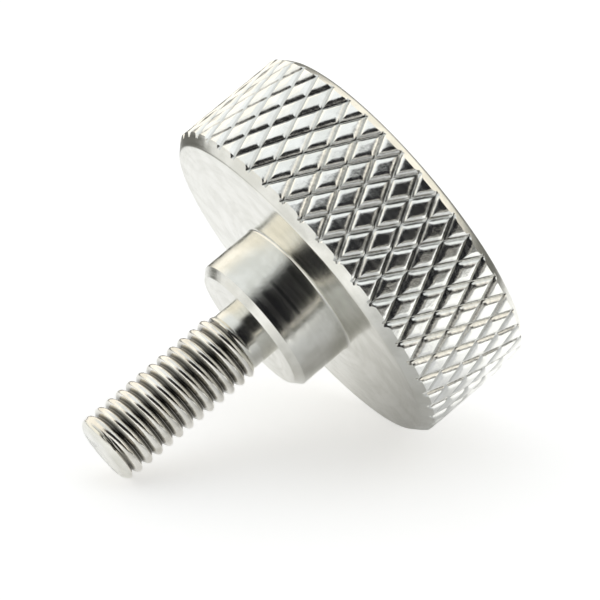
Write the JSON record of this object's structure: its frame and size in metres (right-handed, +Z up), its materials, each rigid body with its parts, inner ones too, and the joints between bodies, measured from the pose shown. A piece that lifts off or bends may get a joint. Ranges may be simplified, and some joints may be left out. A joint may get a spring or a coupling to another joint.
{
  "type": "thumb screw",
  "caption": "Knurled-head thumb screw with a plain shoulder boss, an undercut neck and a short metric stud, turned in one piece from stainless steel.",
  "frame": {"origin": "centre of the floor footprint's box, under the lying screw", "axes": "+Z up; the screw lies in the XZ plane with its tip towards -X on the floor and its head towards +X, its axis rising 30.6 degrees"},
  "size_m": [0.0232, 0.02, 0.0203],
  "materials": {
    "turned_steel": "fine turned stainless steel, bright knurl"
  },
  "bodies": {
    "root": {"thumb_screw": "turned_steel"}
  },
  "joints": []
}
